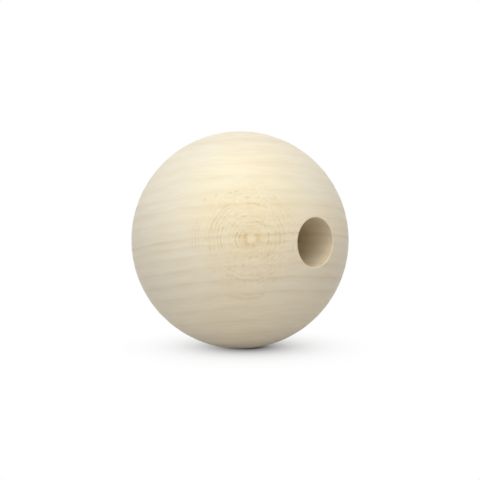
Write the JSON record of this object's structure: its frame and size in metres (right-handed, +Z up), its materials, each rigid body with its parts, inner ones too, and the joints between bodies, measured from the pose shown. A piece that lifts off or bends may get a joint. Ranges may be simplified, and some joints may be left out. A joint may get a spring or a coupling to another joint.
{
  "type": "wooden dowel cap",
  "caption": "Plain turned wooden ball with one blind hole that fits over the end of a dowel.",
  "frame": {"origin": "the dowel's seat: the middle of the hole's flat floor, which is also the centre of the ball", "axes": "+X along the hole, out of its mouth; +Z up, with the hole level as in the picture"},
  "size_m": [0.0314, 0.0318, 0.0318],
  "materials": {
    "maple": "turned and sanded bare maple, unfinished"
  },
  "bodies": {
    "root": {"dowel_cap": "maple"}
  },
  "joints": []
}
